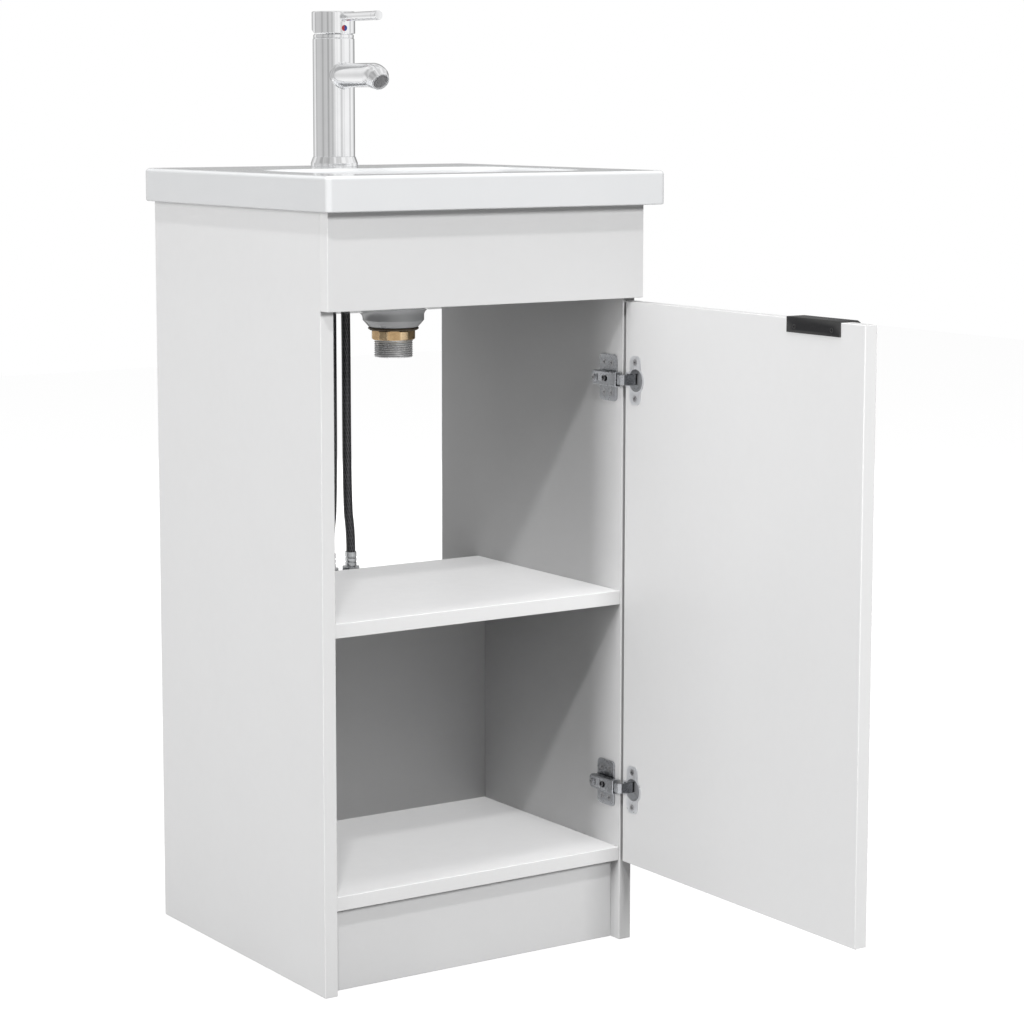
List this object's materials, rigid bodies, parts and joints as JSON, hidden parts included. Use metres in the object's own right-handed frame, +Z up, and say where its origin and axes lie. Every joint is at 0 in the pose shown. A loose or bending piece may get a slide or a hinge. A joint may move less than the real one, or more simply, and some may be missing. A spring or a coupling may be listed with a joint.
{
  "type": "bathroom vanity cabinet",
  "caption": "Slim white floor-standing vanity: board cabinet with shelf and hinged door on concealed hinges, ceramic basin, lever mixer tap with supply hoses, basin waste.",
  "frame": {"origin": "on the floor, at the centre of the cabinet's footprint (the rectangle of the two side panels)", "axes": "+Z up, +Y towards the wall behind the cabinet, so the front faces -Y; +X towards the hinged side of the door"},
  "size_m": [0.41, 0.7433, 1.005],
  "materials": {
    "white_board": "white melamine-faced board, satin",
    "dowel_wood": "plain beech",
    "zinc": "zinc plated",
    "white_ceramic": "white glaze, gloss",
    "chrome": "bright chrome plate",
    "black_rubber": "moulded black rubber",
    "brass": "machined brass",
    "mesh_grey": "dark grey mesh",
    "cartridge_plastic": "grey moulded plastic",
    "steel": "plain steel",
    "index_red": "red enamel",
    "index_blue": "blue enamel",
    "hose_braid": "black braided sleeve",
    "hose_fitting": "nickel plated",
    "hinge_steel": "nickel plated steel",
    "screw_steel": "zinc plated",
    "black_metal": "matt black powder coat"
  },
  "bodies": {
    "cabinet": {"left_side_panel": "white_board", "right_side_panel": "white_board", "front_fascia": "white_board", "middle_shelf": "white_board", "bottom_shelf": "white_board", "plinth_board": "white_board", "lower_back_panel": "white_board", "rear_top_rail": "white_board", "wood_dowels": "dowel_wood", "cam_bolts": "zinc", "cam_locks": "zinc", "basin": "white_ceramic", "waste_body": "chrome", "tap_body": "chrome", "tap_base_ring": "chrome", "aerator_ring": "chrome", "cartridge_nut": "chrome", "waste_seal": "black_rubber", "fixing_seal": "black_rubber", "waste_locknut": "brass", "fixing_nut": "brass", "aerator_mesh": "mesh_grey", "tap_cartridge": "cartridge_plastic", "fixing_stud": "steel", "fixing_washer": "steel", "hinge_rivets": "steel", "hot_hose": "hose_braid", "cold_hose": "hose_braid", "hose_upper_ferrules": "hose_fitting", "hot_hose_ferrule": "hose_fitting", "cold_hose_ferrule": "hose_fitting", "hot_hose_nut": "hose_fitting", "cold_hose_nut": "hose_fitting", "upper_hinge_plate": "hinge_steel", "lower_hinge_plate": "hinge_steel", "upper_hinge_arm": "hinge_steel", "lower_hinge_arm": "hinge_steel", "upper_hinge_link": "hinge_steel", "lower_hinge_link": "hinge_steel", "hinge_plate_screws": "screw_steel", "hinge_arm_screws": "screw_steel"},
    "door": {"door_panel": "white_board", "door_handle": "black_metal", "handle_screws": "black_metal", "hinge_cup_screws": "screw_steel", "hinge_pins": "steel", "upper_hinge_cup": "hinge_steel", "lower_hinge_cup": "hinge_steel"},
    "mixer_carrier": {"lever_rotor": "brass", "lever_pivot_pin": "steel"},
    "lever": {"lever_cap": "chrome", "lever_rod": "chrome", "index_hot": "index_red", "index_cold": "index_blue"},
    "plug": {"waste_plug": "chrome"}
  },
  "joints": [
    {"name": "door_swing", "type": "hinge", "parent": "cabinet", "child": "door", "pos_m": [0.18525, -0.18805, 0.393], "axis": [0, 0, 1], "range_deg": [-90, 15]},
    {"name": "lever_turn", "type": "hinge", "parent": "cabinet", "child": "mixer_carrier", "pos_m": [0, 0.1206, 0.985], "axis": [0, 0, 1], "range_deg": [-45, 45]},
    {"name": "lever_lift", "type": "hinge", "parent": "mixer_carrier", "child": "lever", "pos_m": [0, 0.1206, 0.9837], "axis": [-1, 0, 0], "range_deg": [0, 20]},
    {"name": "plug_lift", "type": "slide", "parent": "cabinet", "child": "plug", "axis": [0, 0, 1], "range_m": [0, 0.008]}
  ]
}
